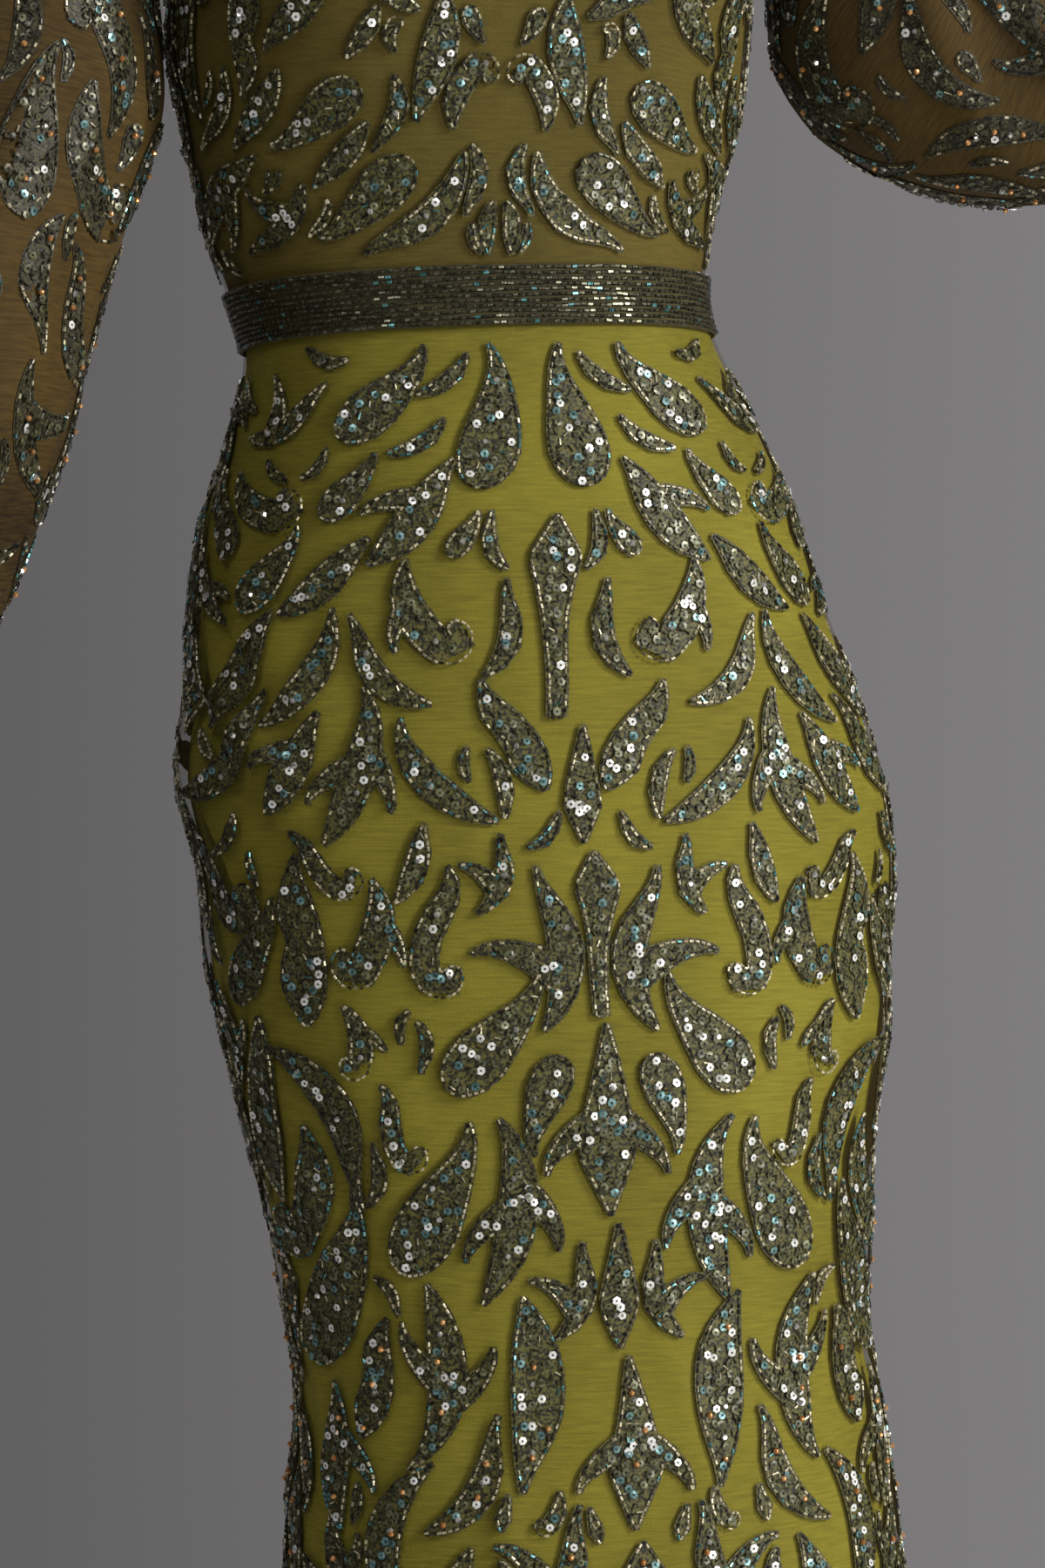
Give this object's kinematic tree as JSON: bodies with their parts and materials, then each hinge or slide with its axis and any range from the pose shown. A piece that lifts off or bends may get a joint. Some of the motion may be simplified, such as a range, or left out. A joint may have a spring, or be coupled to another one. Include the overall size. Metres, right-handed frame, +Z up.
{
  "type": "evening gown",
  "caption": "Long fitted evening gown as worn, with full net sleeves gathered to cuffs, a beaded belt and a skirt that flares below the knee; hollow, with open neck, cuffs and hem.",
  "frame": {"origin": "midway between the two neck points of the shoulder seams, where the wearer carries the gown", "axes": "+Z up the body, the front faces -Y, +X is the wearer's left"},
  "size_m": [0.9057, 0.6217, 1.5428],
  "materials": {
    "beaded_olive": "fine net over a matt lining, with raised bead embroidery",
    "beaded_net": "fine net with raised bead embroidery",
    "bead_band": "rows of glossy bugle beads",
    "binding": "matt",
    "zip_metal": "satin"
  },
  "bodies": {
    "gown": {"skirt_front": "beaded_olive", "skirt_back_left": "beaded_olive", "skirt_back_right": "beaded_olive", "bodice_front": "beaded_olive", "bodice_back_left": "beaded_olive", "bodice_back_right": "beaded_olive", "belt": "bead_band", "neck_binding": "binding", "back_zip": "binding", "sleeve_right": "beaded_net", "sleeve_left": "beaded_net", "cuff_right": "beaded_net", "cuff_left": "beaded_net", "zip_slider": "zip_metal"},
    "zip_pull": {"zip_tab": "zip_metal"}
  },
  "joints": [
    {"name": "zip_tab_hinge", "type": "hinge", "parent": "gown", "child": "zip_pull", "pos_m": [-0.00106, 0.05615, -0.03581], "axis": [1, 0, 0], "range_deg": [0, 140]}
  ]
}
